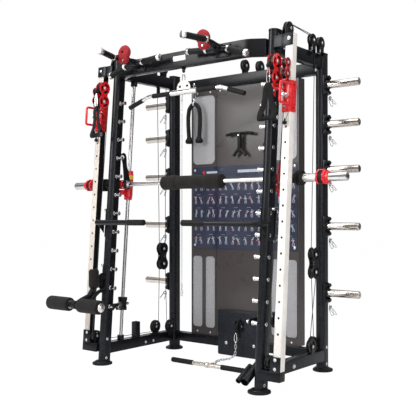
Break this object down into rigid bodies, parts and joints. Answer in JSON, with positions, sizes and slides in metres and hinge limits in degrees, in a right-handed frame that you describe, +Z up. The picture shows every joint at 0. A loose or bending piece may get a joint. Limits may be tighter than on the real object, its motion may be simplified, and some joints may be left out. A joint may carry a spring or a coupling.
{
  "type": "smith machine",
  "caption": "Home-gym smith machine: leaning front frame with a guided bar, two cable columns, weight stacks, plate horns, pull-up grips and hung accessories.",
  "frame": {"origin": "on the floor, under the middle of the whole object's box at rest; x = 0 is the middle plane between the left and right uprights", "axes": "+X to the machine's right-hand side as seen by someone facing it from the front, +Y from front to back, +Z up; the front is -Y"},
  "size_m": [2.24, 1.1516, 2.176],
  "materials": {
    "black": "satin black powder coat",
    "red": "satin red powder coat",
    "hold": "matt grained red resin",
    "cream": "satin off-white paint",
    "chrome": "polished chrome plating",
    "foam": "soft closed-cell foam skin",
    "rubber": "black braided cord and rubber knobs",
    "smoke": "smoked brown panel with pale mesh windows",
    "chart": "dark navy sheet",
    "tread": "raised diamond tread, dark blue-black",
    "nylon": "black nylon",
    "iron": "painted cast iron"
  },
  "bodies": {
    "base": {"front_upright_l": "black", "front_upright_r": "black", "rear_upright_l": "black", "rear_upright_r": "black", "side_base_rail_l": "black", "side_base_rail_r": "black", "side_top_rail_l": "black", "side_top_rail_r": "black", "guide_rod_l": "chrome", "guide_rod_r": "chrome", "grip_cluster_l": "black", "grip_cluster_r": "black", "climbing_hold_l": "hold", "climbing_hold_r": "hold", "column_rail_l": "cream", "column_rail_r": "cream", "weight_cover_l": "smoke", "weight_cover_r": "smoke", "rear_base_beam": "black", "rear_top_beam": "black", "pull_up_beam": "black", "centre_panel": "smoke", "exercise_chart": "chart", "foot_plate": "tread"},
    "carriages": {"bearing_carriage_l": "red", "bearing_carriage_r": "red"},
    "bar": {"smith_bar": "chrome", "latch_l": "black", "latch_r": "black", "bar_pad": "foam"},
    "collar_l": {"bar_collar_l": "red"},
    "stop_l": {"safety_stop_l": "black"},
    "trolley_l": {"trolley_l": "red"},
    "pin_l": {"pop_pin_l": "chrome"},
    "block_l": {"swivel_block_l": "red"},
    "block_wheel_l": {"block_pulley_l": "nylon"},
    "handle_l": {"cable_handle_l": "nylon"},
    "top_wheel_l": {"top_pulley_l": "nylon"},
    "stack_l": {"weight_stack_l": "iron"},
    "float_l": {"floating_block_l": "nylon"},
    "dip_l": {"dip_handle_l": "black"},
    "collar_r": {"bar_collar_r": "red"},
    "stop_r": {"safety_stop_r": "black"},
    "trolley_r": {"trolley_r": "red"},
    "pin_r": {"pop_pin_r": "chrome"},
    "block_r": {"swivel_block_r": "red"},
    "block_wheel_r": {"block_pulley_r": "nylon"},
    "handle_r": {"cable_handle_r": "nylon"},
    "top_wheel_r": {"top_pulley_r": "nylon"},
    "stack_r": {"weight_stack_r": "iron"},
    "float_r": {"floating_block_r": "nylon"},
    "dip_r": {"dip_handle_r": "black"},
    "leg_arm": {"leg_roller_arm": "black"},
    "leg_inner": {"leg_roller_inner": "foam"},
    "leg_outer": {"leg_roller_outer": "foam"},
    "landmine": {"landmine_holder": "black"},
    "lat_bar": {"lat_bar": "chrome"},
    "rope": {"tricep_rope": "rubber"},
    "row_bar": {"row_bar": "chrome"},
    "row_handle": {"row_handle": "black"}
  },
  "joints": [
    {"name": "bar_slide", "type": "slide", "parent": "base", "child": "carriages", "axis": [0, 0.0741, 0.9972], "range_m": [-0.64427, 0.38656]},
    {"name": "bar_turn", "type": "hinge", "parent": "carriages", "child": "bar", "pos_m": [0, -0.06422, 1.239], "axis": [-1, 0, 0], "range_deg": [-8, 45]},
    {"name": "collar_slide_l", "type": "slide", "parent": "bar", "child": "collar_l", "axis": [-1, 0, 0], "range_m": [-0.094, 0.095]},
    {"name": "stop_slide_l", "type": "slide", "parent": "base", "child": "stop_l", "axis": [0, 0.0741, 0.9972], "range_m": [-0.12885, 0.51542]},
    {"name": "trolley_slide_l", "type": "slide", "parent": "base", "child": "trolley_l", "axis": [0, 0.0741, 0.9972], "range_m": [-0.45575, 0]},
    {"name": "pin_pull_l", "type": "slide", "parent": "trolley_l", "child": "pin_l", "axis": [0, -1, 0], "range_m": [-0.014, 0.008]},
    {"name": "block_swivel_l", "type": "hinge", "parent": "trolley_l", "child": "block_l", "pos_m": [-0.714, -0.19367, 1.77], "axis": [0, 0.0741, 0.9972], "range_deg": [-35, 35]},
    {"name": "block_wheel_spin_l", "type": "hinge", "parent": "block_l", "child": "block_wheel_l", "pos_m": [-0.714, -0.18327, 1.91], "axis": [1, 0, 0], "continuous": true},
    {"name": "handle_pull_l", "type": "slide", "parent": "block_l", "child": "handle_l", "axis": [0, -1, 0], "range_m": [0, 0.6]},
    {"name": "top_wheel_spin_l", "type": "hinge", "parent": "base", "child": "top_wheel_l", "pos_m": [-0.72, -0.03822, 2.133], "axis": [1, 0, 0], "continuous": true},
    {"name": "stack_lift_l", "type": "slide", "parent": "base", "child": "stack_l", "axis": [0, 0, 1], "range_m": [0, 0.6]},
    {"name": "float_slide_l", "type": "slide", "parent": "base", "child": "float_l", "axis": [0, 0, 1], "range_m": [-0.3, 0.3]},
    {"name": "dip_height_l", "type": "slide", "parent": "base", "child": "dip_l", "axis": [0, 0.0741, 0.9972], "range_m": [-0.15, 0.15]},
    {"name": "collar_slide_r", "type": "slide", "parent": "bar", "child": "collar_r", "axis": [1, 0, 0], "range_m": [-0.094, 0.095]},
    {"name": "stop_slide_r", "type": "slide", "parent": "base", "child": "stop_r", "axis": [0, 0.0741, 0.9972], "range_m": [-0.12885, 0.51542]},
    {"name": "trolley_slide_r", "type": "slide", "parent": "base", "child": "trolley_r", "axis": [0, 0.0741, 0.9972], "range_m": [-0.45575, 0]},
    {"name": "pin_pull_r", "type": "slide", "parent": "trolley_r", "child": "pin_r", "axis": [0, -1, 0], "range_m": [-0.014, 0.008]},
    {"name": "block_swivel_r", "type": "hinge", "parent": "trolley_r", "child": "block_r", "pos_m": [0.714, -0.19367, 1.77], "axis": [0, 0.0741, 0.9972], "range_deg": [-35, 35]},
    {"name": "block_wheel_spin_r", "type": "hinge", "parent": "block_r", "child": "block_wheel_r", "pos_m": [0.714, -0.18327, 1.91], "axis": [1, 0, 0], "continuous": true},
    {"name": "handle_pull_r", "type": "slide", "parent": "block_r", "child": "handle_r", "axis": [0, -1, 0], "range_m": [0, 0.6]},
    {"name": "top_wheel_spin_r", "type": "hinge", "parent": "base", "child": "top_wheel_r", "pos_m": [0.72, -0.03822, 2.133], "axis": [1, 0, 0], "continuous": true},
    {"name": "stack_lift_r", "type": "slide", "parent": "base", "child": "stack_r", "axis": [0, 0, 1], "range_m": [0, 0.6]},
    {"name": "float_slide_r", "type": "slide", "parent": "base", "child": "float_r", "axis": [0, 0, 1], "range_m": [-0.3, 0.3]},
    {"name": "dip_height_r", "type": "slide", "parent": "base", "child": "dip_r", "axis": [0, 0.0741, 0.9972], "range_m": [-0.15, 0.15]},
    {"name": "leg_arm_height", "type": "slide", "parent": "base", "child": "leg_arm", "axis": [0, 0.0741, 0.9972], "range_m": [-0.15, 0.15]},
    {"name": "leg_inner_spin", "type": "hinge", "parent": "leg_arm", "child": "leg_inner", "pos_m": [-0.502, -0.49522, 0.43], "axis": [1, 0, 0], "continuous": true},
    {"name": "leg_outer_spin", "type": "hinge", "parent": "leg_arm", "child": "leg_outer", "pos_m": [-0.794, -0.49522, 0.43], "axis": [1, 0, 0], "continuous": true},
    {"name": "landmine_tilt", "type": "hinge", "parent": "base", "child": "landmine", "pos_m": [0.58, -0.13022, 0.15], "axis": [-1, 0, 0], "range_deg": [0, 60]},
    {"name": "lat_pull", "type": "slide", "parent": "base", "child": "lat_bar", "axis": [0, 0, -1], "range_m": [0, 0.9]},
    {"name": "rope_unhook", "type": "slide", "parent": "base", "child": "rope", "axis": [0, -1, 0], "range_m": [0, 0.15]},
    {"name": "row_pull", "type": "slide", "parent": "base", "child": "row_bar", "axis": [0, -0.94, 0.3412], "range_m": [0, 0.6]},
    {"name": "row_handle_unhook", "type": "slide", "parent": "base", "child": "row_handle", "axis": [0, -1, 0], "range_m": [0, 0.15]}
  ],
  "couplings": [
    {"joint": "stack_lift_l", "follows": "handle_pull_l", "ratio": 1},
    {"joint": "stack_lift_r", "follows": "handle_pull_r", "ratio": 1}
  ]
}
